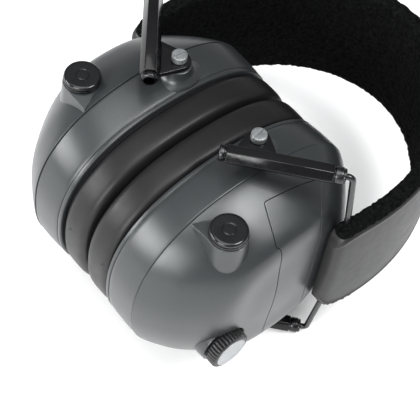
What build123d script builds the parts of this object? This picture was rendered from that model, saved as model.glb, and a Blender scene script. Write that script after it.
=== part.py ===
"""Folding electronic earmuff hearing protector, lying folded on its back.

+X points to the wearer's left ear, +Y to the crown of the headband and +Z (up) to the front of the head.
The two cups are face to face at x = 0.  The origin is under the middle of the whole object, on the table.
"""
from build123d import *
from math import cos, pi, radians, sin
import os

os.makedirs("parts", exist_ok=True)

# ---------------------------------------------------------------- driving dimensions, millimetres
HEX_FLATS = 6.3           # slider tube across flats
SLIDER_Z = 52.0           # slider tube axis, from the middle plane
MID_Z = SLIDER_Z + HEX_FLATS / 2      # middle plane above the table
PIN_Y = -24.9             # pivot pin axis
PIN_X = 21.6
CUP_Y = PIN_Y - 7.7       # centre of the cup's outline

CUP_HALF_Y = 50.0         # cup outline at its widest
CUP_HALF_Z = 43.4
EDGE_HALF_Z = 41.2        # the same at the cushion edge
SQUARENESS = 2.34         # exponent of the outline: 2 is an ellipse
OVAL_POINTS = 16
EDGE_X = 13.7             # cushion edge of the cup
SEAM_X = 29.3             # seam between ring and dome
DOME_DEPTH = 23.3
FACE_Y = 0.54             # the flat outer face, as a share of the outline
FACE_Z = 0.70
DOME_RISE = 1.2           # exponents of the dome's side
DOME_TURN = 1.27
WALL = 2.8
CLEAR = 0.3               # between bodies that pass each other

CUSHION_FACE_X = 0.3      # half the gap between the two folded cushions
CUSHION_FACE = (46.0, 37.2)           # half sizes of the cushion at its face, middle and back
CUSHION_MIDDLE = (50.0, 41.6)
CUSHION_BACK = (47.5, 39.0)
EAR_HALF_Y = 31.0
EAR_HALF_Z = 21.0

BAND_Y = PIN_Y + 30.5     # centre of the headband's arch
BAND_HALF_X = 63.0
BAND_HALF_Y = 77.0
BAND_THICK = 7.3
BAND_HALF_WIDTH = 26.5
PAD_END_Y = PIN_Y + 10.8

FOLD_X = 55.8             # hinge of each wire frame in the end of the band
FOLD_Y = PIN_Y + 15.85
LEG_ANGLE = 40.7          # lean of the folded frames from the x axis, degrees
WIRE_R = 1.15
BORE_GAP = 0.05           # running clearance of a shaft in its bore

COLLAR_START = 4.9        # distances along a slider, from the fold hinge
COLLAR_END = 9.1
TUBE_END = 46.1
RING_END = 48.6
WIRE_END = 44.5
SHOULDER = 2.5            # the frame's corner stands this far in from the hinge line
SHOULDER_BEND = 2.0
NECK_BEND = 8.0
NECK_HALF = BAND_HALF_WIDTH + 2       # half length of the frame's straight hinge leg
TUBE_BORE_R = 1.95
COLLAR_R = 2.95
RING_R = 3.05

PLATE_LOW = 48.2          # bracket plate, from the middle plane
PLATE_THICK = 2.0
PLATE_EYE_R = 4.4         # round end of the plate, about the pin
PLATE_HALF = 3.6          # half width of the plate beside the pin
PLATE_TAPER = 2.4         # the plate widens from this far under the pin
PLATE_TOP_SIDE = 8.9      # reach of the plate's foot along the tube, towards the hinge and away from it
PLATE_LOW_SIDE = 7.8
PLATE_FOOT = -1.6
PIN_R = 2.0
PIN_HEAD_R = 2.9
PIN_HEAD_H = 2.6

MIC_X = 40.7
MIC_Y = PIN_Y - 28.3
MIC_CAP_R = 6.9
BOSS_R = 7.0              # microphone boss at its top
BOSS_TOP = 39.8           # top of the microphone boss, from the middle plane
MIC_TOP = 42.9
MIC_EDGE = 1.2            # rounded edge of the cap
BOSS_LONG = 16.0
MIC_BORE_R = 3.0
MIC_ELEMENT_R = 2.9
MIC_BORE_LONG = 10.0
BOSS_TAPER = 4.0
FIN_DROP = 1.0            # the fin's back lies this far under the top of the boss
FIN_TIP = (SEAM_X + 0.2, MIC_Y - 7.2)
FIN_FOOT = 6.4
FIN_BACK = (MIC_X - 5.0, MIC_Y + 4.0)

KNOB_Y = PIN_Y - 33.0
KNOB_Z = MID_Z - 15.0
KNOB_R = 8.2
SEAT_X = 51.6             # flat seat under the volume knob
KNOB_THICK = 5.0
SEAT_THICK = 3.2
SEAT_R = 9.2
KNOB_WELL_R = 8.8         # cut clear of the dome around the knob
SHAFT_R = 3.0
SHAFT_HOLE = 9.0          # depth of the hole for the knob's shaft, under the seat

DOOR_X = 38.8             # the door reaches this far down the front of the dome
DOOR_LOW_Y = PIN_Y - 12.9
DOOR_HIGH_Y = PIN_Y + 6.0
DOOR_REAR_Z = MID_Z - 29.0
DOOR_GAP = 0.25
DOOR_BEND_Z = MID_Z + 29.0            # the crown side flares out from here
DOOR_FLARE_Z = MID_Z + 33.0
DOOR_FLARE_Y = PIN_Y + 9.8
DOOR_TIP_Z = MID_Z + 46.0             # beyond the front of the dome
DOOR_TIP_Y = (PIN_Y - 10.0, PIN_Y + 18.0)

BATTERY_R = 5.25
BATTERY_LONG = 44.5
BATTERY_X = 43.0
BATTERY_MID_Z = MID_Z + 2.2
BATTERY_Y = (PIN_Y - 8.7, PIN_Y + 2.1)


# ---------------------------------------------------------------- helpers
def save(piece, name):
    """Label a finished piece and write it out."""
    piece.part.label = name
    export_step(piece.part, f"parts/{name}.step")


def save_both(piece, name):
    """Write a left piece, and its mirror image on the right."""
    save(piece, f"left_{name}")
    with BuildPart() as twin:
        mirror(piece.part, about=Plane.YZ)
    save(twin, f"right_{name}")


def oval(x, half_y, half_z, centre_y=CUP_Y):
    """Rounded-square outline across the ear-to-ear axis."""
    power = 2 / SQUARENESS
    points = []
    for step in range(OVAL_POINTS):
        angle = 2 * pi * step / OVAL_POINTS
        c, s = cos(angle), sin(angle)
        y = centre_y + half_y * abs(c) ** power * (1 if c > 0 else -1)
        z = MID_Z + half_z * abs(s) ** power * (1 if s > 0 else -1)
        points.append((y, z))
    with BuildSketch(Plane.YZ.offset(x)) as outline:
        with BuildLine():
            Spline(points, periodic=True)
        make_face()
    return outline.sketch


def oval_plate(x, thick, half_y, half_z):
    """Flat oval slab that starts at x."""
    with BuildPart() as slab:
        extrude(oval(x, half_y, half_z), amount=thick)
    return slab.part


def dome_solid(inset):
    """The dome's form; inset shrinks it all round to make its cavity."""
    sections = []
    for share in (0, 0.25, 0.5, 0.75, 0.92, 1.0):
        turn = (1 - share ** DOME_RISE) ** (1 / DOME_TURN)
        half_y = CUP_HALF_Y * (FACE_Y + (1 - FACE_Y) * turn) - inset
        half_z = CUP_HALF_Z * (FACE_Z + (1 - FACE_Z) * turn) - inset
        sections.append(oval(SEAM_X + (DOME_DEPTH - inset) * share, half_y, half_z))
    with BuildPart() as form:
        loft(sections=sections)
    return form.part


def disc(x, y, z, radius, thick):
    """Round slab across the ear-to-ear axis."""
    with BuildPart() as slab:
        with BuildSketch(Plane.YZ.offset(x)):
            with Locations((y, z)):
                Circle(radius)
        extrude(amount=thick)
    return slab.part


# The slider frame: local x runs down the slider from the fold hinge, local y away from the crown.
LEG = radians(180 + LEG_ANGLE)
PIN_AT = (PIN_X - FOLD_X) * cos(LEG) + (PIN_Y - FOLD_Y) * sin(LEG)        # pivot pin, along the slider
PIN_BESIDE = (PIN_Y - FOLD_Y) * cos(LEG) - (PIN_X - FOLD_X) * sin(LEG)    # and beside it
SLIDER = Plane(origin=(FOLD_X, FOLD_Y, MID_Z), x_dir=(cos(LEG), sin(LEG), 0), z_dir=(0, 0, 1))
FRAME = Plane(origin=(FOLD_X, FOLD_Y, MID_Z), x_dir=(cos(LEG), sin(LEG), 0), z_dir=(-sin(LEG), cos(LEG), 0))


def slider_axis(distance, side):
    """Plane across the front (+1) or rear (-1) slider tube, this far from the fold hinge."""
    spot = (FOLD_X + distance * cos(LEG), FOLD_Y + distance * sin(LEG), MID_Z + side * SLIDER_Z)
    return Plane(origin=spot, x_dir=(0, 0, 1), z_dir=(cos(LEG), sin(LEG), 0))


def tube_piece(start, end, side, outer, inner):
    """Round sleeve on a slider's axis."""
    with BuildPart() as sleeve:
        with BuildSketch(slider_axis(start, side)):
            Circle(outer)
            if inner:
                Circle(inner, mode=Mode.SUBTRACT)
        extrude(amount=end - start)
    return sleeve.part


# ---------------------------------------------------------------- headband
def band_face(outer_inset, inner_inset, start_y):
    """Arch between two ellipses, above start_y."""
    with BuildSketch(Plane.XY.offset(MID_Z)) as face:
        with Locations((0, BAND_Y)):
            Ellipse(BAND_HALF_X - outer_inset, BAND_HALF_Y - outer_inset)
            Ellipse(BAND_HALF_X - inner_inset, BAND_HALF_Y - inner_inset, mode=Mode.SUBTRACT)
        with Locations((0, start_y)):
            Rectangle(4 * BAND_HALF_X, 4 * BAND_HALF_Y, align=(Align.CENTER, Align.MAX), mode=Mode.SUBTRACT)
    return face.sketch


COVER = 1.2               # leatherette
LINING = 1.0              # fleece
STRIP = 0.5               # spring steel
STRIP_AT = 3.0            # depth of the strip under the outer face
STRIP_HALF = 7.0
BLOCK_X = (53.9, 60.6)    # hinge blocks in the ends of the band
BLOCK_LONG = 8.4
BLOCK_Y = (PAD_END_Y + COVER, PAD_END_Y + COVER + BLOCK_LONG)

with BuildPart() as block_space:
    with Locations((sum(BLOCK_X) / 2, sum(BLOCK_Y) / 2, MID_Z)):
        Box(BLOCK_X[1] - BLOCK_X[0], BLOCK_Y[1] - BLOCK_Y[0], 2 * BAND_HALF_WIDTH)
    mirror(about=Plane.YZ)

with BuildPart() as strip_space:
    extrude(band_face(STRIP_AT, STRIP_AT + STRIP, BLOCK_Y[1]), amount=STRIP_HALF, both=True)

with BuildPart() as headband_cover:
    extrude(band_face(0, COVER, PAD_END_Y), amount=BAND_HALF_WIDTH, both=True)
    extrude(band_face(0, BAND_THICK, PAD_END_Y), amount=BAND_HALF_WIDTH, both=True)
    inside = band_face(COVER, BAND_THICK, PAD_END_Y + COVER)
    extrude(inside, amount=BAND_HALF_WIDTH, both=True, mode=Mode.SUBTRACT)
    add(block_space.part, mode=Mode.SUBTRACT)
save(headband_cover, "headband_cover")

with BuildPart() as headband_lining:
    inner = BAND_THICK - LINING
    width = BAND_HALF_WIDTH - LINING
    extrude(band_face(COVER, BAND_THICK, BLOCK_Y[1]), amount=BAND_HALF_WIDTH, both=True)
    extrude(band_face(COVER, inner, BLOCK_Y[1]), amount=width, both=True, mode=Mode.SUBTRACT)
save(headband_lining, "headband_lining")

with BuildPart() as headband_foam:
    extrude(band_face(COVER, inner, PAD_END_Y + COVER), amount=width, both=True)
    add(block_space.part, mode=Mode.SUBTRACT)
    add(strip_space.part, mode=Mode.SUBTRACT)
save(headband_foam, "headband_foam")

with BuildPart() as spring_strip:
    add(strip_space.part)
save(spring_strip, "spring_strip")

with BuildPart() as hinge_block:
    with Locations((sum(BLOCK_X) / 2, sum(BLOCK_Y) / 2, MID_Z)):
        Box(BLOCK_X[1] - BLOCK_X[0], BLOCK_Y[1] - BLOCK_Y[0], 2 * BAND_HALF_WIDTH)
    with BuildSketch(Plane.XY.offset(MID_Z)):
        with Locations((FOLD_X, FOLD_Y)):
            Circle(WIRE_R + BORE_GAP)
    extrude(amount=BAND_HALF_WIDTH, both=True, mode=Mode.SUBTRACT)
save_both(hinge_block, "hinge_block")

# ---------------------------------------------------------------- folding wire frames
with BuildPart() as wire_frame:
    with BuildLine(FRAME) as route:
        FilletPolyline(
            (WIRE_END, SLIDER_Z), (SHOULDER, SLIDER_Z), (0, NECK_HALF),
            (0, -NECK_HALF), (SHOULDER, -SLIDER_Z), (WIRE_END, -SLIDER_Z),
            radius=[SHOULDER_BEND, NECK_BEND, NECK_BEND, SHOULDER_BEND],
        )
    with BuildSketch(Plane(origin=route.line @ 0, z_dir=route.line % 0)):
        Circle(WIRE_R)
    sweep()
save_both(wire_frame, "wire_frame")

STOP_LONG = 4.0
with BuildPart() as wire_stops:
    for side in (1, -1):
        add(tube_piece(WIRE_END - STOP_LONG, WIRE_END, side, TUBE_BORE_R - BORE_GAP, WIRE_R))
save_both(wire_stops, "wire_stops")


# ---------------------------------------------------------------- sliders and their brackets
def slider(side):
    """Hexagonal slider tube with the flat bracket that carries the pivot pin."""
    low = PLATE_LOW if side > 0 else -PLATE_LOW - PLATE_THICK
    with BuildPart() as body:
        with BuildSketch(slider_axis(COLLAR_END, side)):
            RegularPolygon(HEX_FLATS / 2, 6, major_radius=False, rotation=30)
        extrude(amount=TUBE_END - COLLAR_END)
        with BuildSketch(SLIDER.offset(low)):
            with BuildLine():
                Polyline(
                    (PIN_AT - PLATE_TOP_SIDE, PLATE_FOOT), (PIN_AT - PLATE_HALF, PIN_BESIDE - PLATE_TAPER),
                    (PIN_AT + PLATE_HALF, PIN_BESIDE - PLATE_TAPER), (PIN_AT + PLATE_LOW_SIDE, PLATE_FOOT),
                    close=True,
                )
            make_face()
            with Locations((PIN_AT, PIN_BESIDE)):
                Circle(PLATE_EYE_R)
                Circle(PIN_R + BORE_GAP, mode=Mode.SUBTRACT)
        extrude(amount=PLATE_THICK)
        with BuildSketch(slider_axis(COLLAR_END, side)):
            Circle(TUBE_BORE_R)
        extrude(amount=TUBE_END - COLLAR_END, mode=Mode.SUBTRACT)
    return body


save_both(slider(1), "front_slider")
save_both(slider(-1), "rear_slider")

with BuildPart() as slider_collars:
    for side in (1, -1):
        add(tube_piece(COLLAR_START, COLLAR_END, side, COLLAR_R, WIRE_R + BORE_GAP))
save_both(slider_collars, "slider_collars")

with BuildPart() as slider_end_rings:
    for side in (1, -1):
        add(tube_piece(TUBE_END, RING_END, side, RING_R, TUBE_BORE_R))
save_both(slider_end_rings, "slider_end_rings")

# ---------------------------------------------------------------- cups
PAD_TOP = PLATE_LOW - CLEAR
PIVOT_PAD_R = 6.0
with BuildPart() as ring_shell:
    loft(sections=[oval(EDGE_X, CUP_HALF_Y, EDGE_HALF_Z), oval(SEAM_X, CUP_HALF_Y, CUP_HALF_Z)])
    with BuildSketch(Plane.XY.offset(MID_Z)):
        with Locations((PIN_X, PIN_Y)):
            Circle(PIVOT_PAD_R)
    extrude(amount=PAD_TOP, both=True)
    inner_y = CUP_HALF_Y - WALL
    cavity = [oval(EDGE_X, inner_y, EDGE_HALF_Z - WALL), oval(SEAM_X, inner_y, CUP_HALF_Z - WALL)]
    loft(sections=cavity, mode=Mode.SUBTRACT)
    with BuildSketch(Plane.XY.offset(MID_Z)):
        with Locations((PIN_X, PIN_Y)):
            Circle(PIN_R)
    extrude(amount=PAD_TOP, both=True, mode=Mode.SUBTRACT)
save_both(ring_shell, "ring_shell")

PIN_FOOT = 38.6           # inner end of the pins, from the middle plane
with BuildPart() as pivot_pins:
    for side in (1, -1):
        head = PLATE_LOW + PLATE_THICK + CLEAR / 2
        with BuildSketch(Plane.XY.offset(MID_Z + side * PIN_FOOT)):
            with Locations((PIN_X, PIN_Y)):
                Circle(PIN_R)
        extrude(amount=side * (head - PIN_FOOT))
        with BuildSketch(Plane.XY.offset(MID_Z + side * head)):
            with Locations((PIN_X, PIN_Y)):
                Circle(PIN_HEAD_R)
        extrude(amount=side * PIN_HEAD_H)
save_both(pivot_pins, "pivot_pins")


def dome_with_boss():
    """Dome with its microphone boss and the fin that runs from the boss to the seam."""
    with BuildPart() as body:
        add(dome_solid(0))
        with BuildSketch(Plane.XY.offset(MID_Z + BOSS_TOP)):
            with Locations((MIC_X, MIC_Y)):
                Circle(BOSS_R)
        extrude(amount=-BOSS_LONG, taper=-BOSS_TAPER)
        with BuildSketch(Plane.XY.offset(MID_Z + BOSS_TOP - BOSS_LONG)):
            with BuildLine():
                Polyline(FIN_TIP, (MIC_X, MIC_Y - FIN_FOOT), (MIC_X, MIC_Y), FIN_BACK, close=True)
            make_face()
        extrude(amount=BOSS_LONG - FIN_DROP)
        add(dome_solid(WALL), mode=Mode.SUBTRACT)
        with BuildSketch(Plane.XY.offset(MID_Z + BOSS_TOP)):
            with Locations((MIC_X, MIC_Y)):
                Circle(MIC_BORE_R)
        extrude(amount=-MIC_BORE_LONG, mode=Mode.SUBTRACT)
    return body.part


with BuildPart() as right_dome:
    mirror(dome_with_boss(), about=Plane.YZ)
save(right_dome, "right_dome")


def door_face(gap):
    """The door's outline, seen from outside: it widens where it wraps down over the front."""
    with BuildSketch(Plane.YZ.offset(DOOR_X - gap)) as face:
        with BuildLine():
            Polyline(
                (DOOR_LOW_Y - gap, DOOR_REAR_Z - gap), (DOOR_LOW_Y - gap, DOOR_FLARE_Z),
                (DOOR_TIP_Y[0] - gap, DOOR_TIP_Z), (DOOR_TIP_Y[1] + gap, DOOR_TIP_Z),
                (DOOR_FLARE_Y + gap, DOOR_FLARE_Z), (DOOR_HIGH_Y + gap, DOOR_BEND_Z),
                (DOOR_HIGH_Y + gap, DOOR_REAR_Z - gap), close=True,
            )
        make_face()
    return face.sketch


with BuildPart() as left_dome:
    add(dome_with_boss())
    add(disc(SEAT_X - SEAT_THICK, KNOB_Y, KNOB_Z, SEAT_R, SEAT_THICK))
    add(disc(SEAT_X, KNOB_Y, KNOB_Z, KNOB_WELL_R, DOME_DEPTH), mode=Mode.SUBTRACT)
    add(disc(SEAT_X - SHAFT_HOLE, KNOB_Y, KNOB_Z, SHAFT_R + BORE_GAP, DOME_DEPTH), mode=Mode.SUBTRACT)
    extrude(door_face(DOOR_GAP), amount=DOME_DEPTH, mode=Mode.SUBTRACT)
save(left_dome, "left_dome")

with BuildPart() as battery_door:
    add(dome_solid(0))
    add(dome_solid(WALL), mode=Mode.SUBTRACT)
    extrude(door_face(0), amount=DOME_DEPTH, mode=Mode.INTERSECT)
save(battery_door, "battery_door")

CUSHION_PLATE_THICK = 2.0
PLATE_FIT = WALL + 0.1    # how far the plate stands inside the ring's outline
with BuildPart() as cushion_plate:
    add(oval_plate(EDGE_X, CUSHION_PLATE_THICK, CUP_HALF_Y - PLATE_FIT, EDGE_HALF_Z - PLATE_FIT))
    add(oval_plate(EDGE_X, CUSHION_PLATE_THICK, EAR_HALF_Y, EAR_HALF_Z), mode=Mode.SUBTRACT)
save_both(cushion_plate, "cushion_plate")

with BuildPart() as cushion:
    depth = EDGE_X - CUSHION_FACE_X
    middle = CUSHION_FACE_X + depth / 2
    front = oval(CUSHION_FACE_X, *CUSHION_FACE)
    loft(sections=[front, oval(middle, *CUSHION_MIDDLE), oval(EDGE_X, *CUSHION_BACK)])
    add(oval_plate(CUSHION_FACE_X, depth, EAR_HALF_Y, EAR_HALF_Z), mode=Mode.SUBTRACT)
save_both(cushion, "ear_cushion")

FOAM_X = 18.6
BAFFLE_X = 21.6
BAFFLE_THICK = 1.8
BAFFLE_FIT = WALL + 0.3   # how far foam and baffle stand inside the ring's outline
SOUND_HOLES = 8
SOUND_HOLE_R = 1.6
SOUND_CIRCLE_R = 9.0
with BuildPart() as ear_foam:
    add(oval_plate(FOAM_X, BAFFLE_X - FOAM_X, CUP_HALF_Y - BAFFLE_FIT, EDGE_HALF_Z - BAFFLE_FIT))
save_both(ear_foam, "ear_foam")

with BuildPart() as speaker_baffle:
    add(oval_plate(BAFFLE_X, BAFFLE_THICK, CUP_HALF_Y - BAFFLE_FIT, EDGE_HALF_Z - BAFFLE_FIT))
    with BuildSketch(Plane.YZ.offset(BAFFLE_X)):
        with Locations((CUP_Y, MID_Z)):
            with PolarLocations(SOUND_CIRCLE_R, SOUND_HOLES):
                Circle(SOUND_HOLE_R)
    extrude(amount=BAFFLE_THICK, mode=Mode.SUBTRACT)
save_both(speaker_baffle, "speaker_baffle")

SPEAKER_X = BAFFLE_X + BAFFLE_THICK
SPEAKER_R = 18.0
MAGNET_R = 10.0
SPEAKER_LAYER = 3.0       # thickness of the frame, and of the magnet on it
with BuildPart() as speaker:
    add(disc(SPEAKER_X, CUP_Y, MID_Z, SPEAKER_R, SPEAKER_LAYER))
    add(disc(SPEAKER_X + SPEAKER_LAYER, CUP_Y, MID_Z, MAGNET_R, SPEAKER_LAYER))
save_both(speaker, "speaker")

MIC_ELEMENT_LONG = 6.0
with BuildPart() as mic_element:
    with BuildSketch(Plane.XY.offset(MID_Z + BOSS_TOP - MIC_ELEMENT_LONG)):
        with Locations((MIC_X, MIC_Y)):
            Circle(MIC_ELEMENT_R)
    extrude(amount=MIC_ELEMENT_LONG)
save_both(mic_element, "mic_element")

with BuildPart() as mic_cap:
    with BuildSketch(Plane.XY.offset(MID_Z + BOSS_TOP)):
        with Locations((MIC_X, MIC_Y)):
            Circle(MIC_CAP_R)
    extrude(amount=MIC_TOP - BOSS_TOP)
    fillet(mic_cap.faces().sort_by(Axis.Z)[-1].edges(), MIC_EDGE)
save_both(mic_cap, "mic_cap")

# ---------------------------------------------------------------- electronics in the left cup
BOARD_X = 31.4
BOARD_SIZE = (1.6, 58, 40)
with BuildPart() as circuit_board:
    with Locations((BOARD_X + BOARD_SIZE[0] / 2, CUP_Y, MID_Z)):
        Box(*BOARD_SIZE)
save_both(circuit_board, "circuit_board")

TRAY_X = (36.4, 46.4)
TRAY_SIDE = 1.6           # room beside the cells, wall included
TRAY_TIP = 1.7            # and at their tips
TRAY_LOW = (TRAY_X[0], BATTERY_Y[0] - BATTERY_R - TRAY_SIDE, BATTERY_MID_Z - BATTERY_LONG / 2 - TRAY_TIP)
TRAY_HIGH = (TRAY_X[1], BATTERY_Y[1] + BATTERY_R + TRAY_SIDE, BATTERY_MID_Z + BATTERY_LONG / 2 + TRAY_TIP)
TRAY_SIZE = [high - low for low, high in zip(TRAY_LOW, TRAY_HIGH)]
TRAY_MID = [(high + low) / 2 for low, high in zip(TRAY_LOW, TRAY_HIGH)]
TRAY_WALL = 1.2
with BuildPart() as battery_tray:
    with Locations(tuple(TRAY_MID)):
        Box(*TRAY_SIZE)
    with Locations((TRAY_MID[0] + TRAY_WALL, TRAY_MID[1], TRAY_MID[2])):
        Box(TRAY_SIZE[0], TRAY_SIZE[1] - 2 * TRAY_WALL, TRAY_SIZE[2] - 2 * TRAY_WALL, mode=Mode.SUBTRACT)
save(battery_tray, "battery_tray")

with BuildPart() as batteries:
    for y in BATTERY_Y:
        with BuildSketch(Plane.XY.offset(BATTERY_MID_Z - BATTERY_LONG / 2)):
            with Locations((BATTERY_X, y)):
                Circle(BATTERY_R)
        extrude(amount=BATTERY_LONG)
save(batteries, "batteries")

CONTACT_SIZE = (5, 7, 0.4)
CONTACT_SPRING = 0.25     # from a cell's tip to the middle of its contact
CONTACT_AT = BATTERY_LONG / 2 + CONTACT_SPRING
with BuildPart() as battery_contacts:
    for y in BATTERY_Y:
        for end in (1, -1):
            with Locations((BATTERY_X, y, BATTERY_MID_Z + end * CONTACT_AT)):
                Box(*CONTACT_SIZE)
save(battery_contacts, "battery_contacts")

CONTROL_X = 35.0
CONTROL_R = 5.0
CONTROL_LONG = 7.5
with BuildPart() as volume_control:
    add(disc(CONTROL_X, KNOB_Y, KNOB_Z, CONTROL_R, CONTROL_LONG))
save(volume_control, "volume_control")

KNOB_X = SEAT_X + CLEAR
KNOB_FACE_SUNK = 0.8      # depth of the light face in the rim
KNOB_FACE_X = KNOB_X + KNOB_THICK - KNOB_FACE_SUNK
KNOB_FACE_R = 6.6
KNOB_FACE_THICK = 1.0
KNURLS = 30
KNURL_SIZE = (1.2, 0.9)
SHAFT_GAP = 0.2
SHAFT_X = CONTROL_X + CONTROL_LONG + SHAFT_GAP
with BuildPart() as volume_knob:
    add(disc(KNOB_X, KNOB_Y, KNOB_Z, KNOB_R, KNOB_THICK))
    with BuildSketch(Plane.YZ.offset(KNOB_X)):
        with Locations((KNOB_Y, KNOB_Z)):
            with PolarLocations(KNOB_R, KNURLS):
                Rectangle(*KNURL_SIZE)
    extrude(amount=KNOB_THICK, mode=Mode.SUBTRACT)
    add(disc(SHAFT_X, KNOB_Y, KNOB_Z, SHAFT_R, KNOB_X - SHAFT_X))
    add(disc(KNOB_FACE_X, KNOB_Y, KNOB_Z, KNOB_FACE_R, KNOB_FACE_THICK), mode=Mode.SUBTRACT)
save(volume_knob, "volume_knob")

with BuildPart() as knob_face:
    add(disc(KNOB_FACE_X, KNOB_Y, KNOB_Z, KNOB_FACE_R, KNOB_FACE_THICK))
save(knob_face, "knob_face")

SCREW_AT = (38, 14)       # from the centre of the cup
SCREW_HEAD_R = 2.6
SCREW_HEAD_THICK = 1.6
SCREW_R = 1.3
SCREW_LONG = 8.0
with BuildPart() as shell_screws:
    for y in (CUP_Y + SCREW_AT[0], CUP_Y - SCREW_AT[0]):
        for z in (MID_Z + SCREW_AT[1], MID_Z - SCREW_AT[1]):
            add(disc(SPEAKER_X, y, z, SCREW_HEAD_R, SCREW_HEAD_THICK))
            add(disc(SPEAKER_X + SCREW_HEAD_THICK, y, z, SCREW_R, SCREW_LONG))
save_both(shell_screws, "shell_screws")
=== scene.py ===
"""Looks of the folding electronic earmuff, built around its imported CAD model.

Everything is in the model's own frame: x from ear to ear, y towards the crown of the headband, z up (to the
front of the head).  Sizes are in millimetres unless a comment says otherwise.
"""
from math import atan2, cos, hypot, pi, radians, sin, sqrt

import bmesh
import bpy
import numpy as np
from mathutils import Matrix, Vector, noise
from mathutils.geometry import delaunay_2d_cdt


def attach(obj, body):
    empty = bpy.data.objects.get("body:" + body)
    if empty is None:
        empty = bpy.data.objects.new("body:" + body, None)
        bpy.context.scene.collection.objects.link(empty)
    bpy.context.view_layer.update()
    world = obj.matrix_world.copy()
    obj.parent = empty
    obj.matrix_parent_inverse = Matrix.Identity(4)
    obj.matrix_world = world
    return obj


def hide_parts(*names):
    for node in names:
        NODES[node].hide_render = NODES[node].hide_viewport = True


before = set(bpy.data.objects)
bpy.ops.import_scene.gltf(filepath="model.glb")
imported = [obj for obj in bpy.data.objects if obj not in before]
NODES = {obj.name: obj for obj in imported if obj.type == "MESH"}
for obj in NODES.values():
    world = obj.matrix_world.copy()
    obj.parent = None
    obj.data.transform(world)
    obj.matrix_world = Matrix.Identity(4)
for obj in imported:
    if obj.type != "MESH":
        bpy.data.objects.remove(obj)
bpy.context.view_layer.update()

MM = 0.001

# ---------------- dimensions shared with the CAD model
MID_Z = 55.15
PIN_X, PIN_Y = 21.6, -24.9
CUP_Y = PIN_Y - 7.7
CUP_HALF_Y, CUP_HALF_Z, EDGE_HALF_Z = 50.0, 43.4, 41.2
POWER = 2.34
EDGE_X, SEAM_X, DOME_DEPTH = 13.7, 29.3, 23.3
FACE_Y, FACE_Z = 0.54, 0.70
MIC_X, MIC_Y, BOSS_TOP = 40.7, PIN_Y - 28.3, 39.8
KNOB_Y, KNOB_Z, SEAT_X, KNOB_X = PIN_Y - 33.0, MID_Z - 15.0, 51.6, 51.9
BAND_Y, BAND_HALF_X, BAND_HALF_Y = PIN_Y + 30.5, 63.0, 77.0
BAND_THICK, BAND_HALF_WIDTH = 7.3, 26.5
PAD_END_Y = PIN_Y + 10.8
FOLD_X, FOLD_Y = 55.8, PIN_Y + 15.85
LEG = radians(180 + 40.7)
SLIDER_Z = 52.0
PLATE_LOW, PLATE_THICK = 48.2, 2.0
PIN_AT = (PIN_X - FOLD_X) * cos(LEG) + (PIN_Y - FOLD_Y) * sin(LEG)
PIN_BESIDE = (PIN_Y - FOLD_Y) * cos(LEG) - (PIN_X - FOLD_X) * sin(LEG)

# ---------------- materials
SURFACES = {}


def material(name, colour, rough, metallic=0.0, specular=0.5, mottle=(60, 0.12), speckle=None,
             rough_vary=0.06, grain=None, pores=None, bump=0.0):
    """Procedural finish: mottling and speckle (scale, strength), roughness variation, and a relief.

    grain and pores are the scales of the relief's noises; bump is its height.
    """
    m = bpy.data.materials.new(name)
    m.use_nodes = True
    tree = m.node_tree
    shader = tree.nodes["Principled BSDF"]
    shader.inputs["Metallic"].default_value = metallic
    shader.inputs["Specular IOR Level"].default_value = specular
    place = tree.nodes.new("ShaderNodeTexCoord").outputs["Object"]

    def cloud(scale, detail=3.0):
        node = tree.nodes.new("ShaderNodeTexNoise")
        node.inputs["Scale"].default_value = scale
        node.inputs["Detail"].default_value = detail
        tree.links.new(place, node.inputs["Vector"])
        return node.outputs["Fac"]

    def remap(value, low, high):
        node = tree.nodes.new("ShaderNodeMapRange")
        node.inputs["From Min"].default_value = 0.3
        node.inputs["From Max"].default_value = 0.7
        node.inputs["To Min"].default_value = low
        node.inputs["To Max"].default_value = high
        tree.links.new(value, node.inputs["Value"])
        return node.outputs["Result"]

    def times(a, b):
        node = tree.nodes.new("ShaderNodeMath")
        node.operation = "MULTIPLY"
        tree.links.new(a, node.inputs[0])
        tree.links.new(b, node.inputs[1])
        return node.outputs[0]

    tone = remap(cloud(mottle[0]), 1 - mottle[1], 1 + mottle[1])
    if speckle:
        tone = times(tone, remap(cloud(speckle[0], 1.0), 1 - speckle[1], 1 + speckle[1]))
    paint = tree.nodes.new("ShaderNodeMix")
    paint.data_type = "RGBA"
    paint.blend_type = "MULTIPLY"
    paint.inputs[0].default_value = 1.0
    paint.inputs[6].default_value = (*colour, 1)
    tree.links.new(tone, paint.inputs[7])
    tree.links.new(paint.outputs[2], shader.inputs["Base Color"])
    gloss = remap(cloud(mottle[0] * 6), rough - rough_vary, rough + rough_vary)
    tree.links.new(gloss, shader.inputs["Roughness"])
    height = None
    if grain:
        height = cloud(grain, 4.0)
    if pores:
        cells = tree.nodes.new("ShaderNodeTexVoronoi")
        cells.inputs["Scale"].default_value = pores
        tree.links.new(place, cells.inputs["Vector"])
        height = times(height, cells.outputs["Distance"]) if grain else cells.outputs["Distance"]
    if height is not None:
        relief = tree.nodes.new("ShaderNodeBump")
        relief.inputs["Strength"].default_value = 1.0
        relief.inputs["Distance"].default_value = bump * MM
        tree.links.new(height, relief.inputs["Height"])
        tree.links.new(relief.outputs["Normal"], shader.inputs["Normal"])
    SURFACES[name] = m


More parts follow.
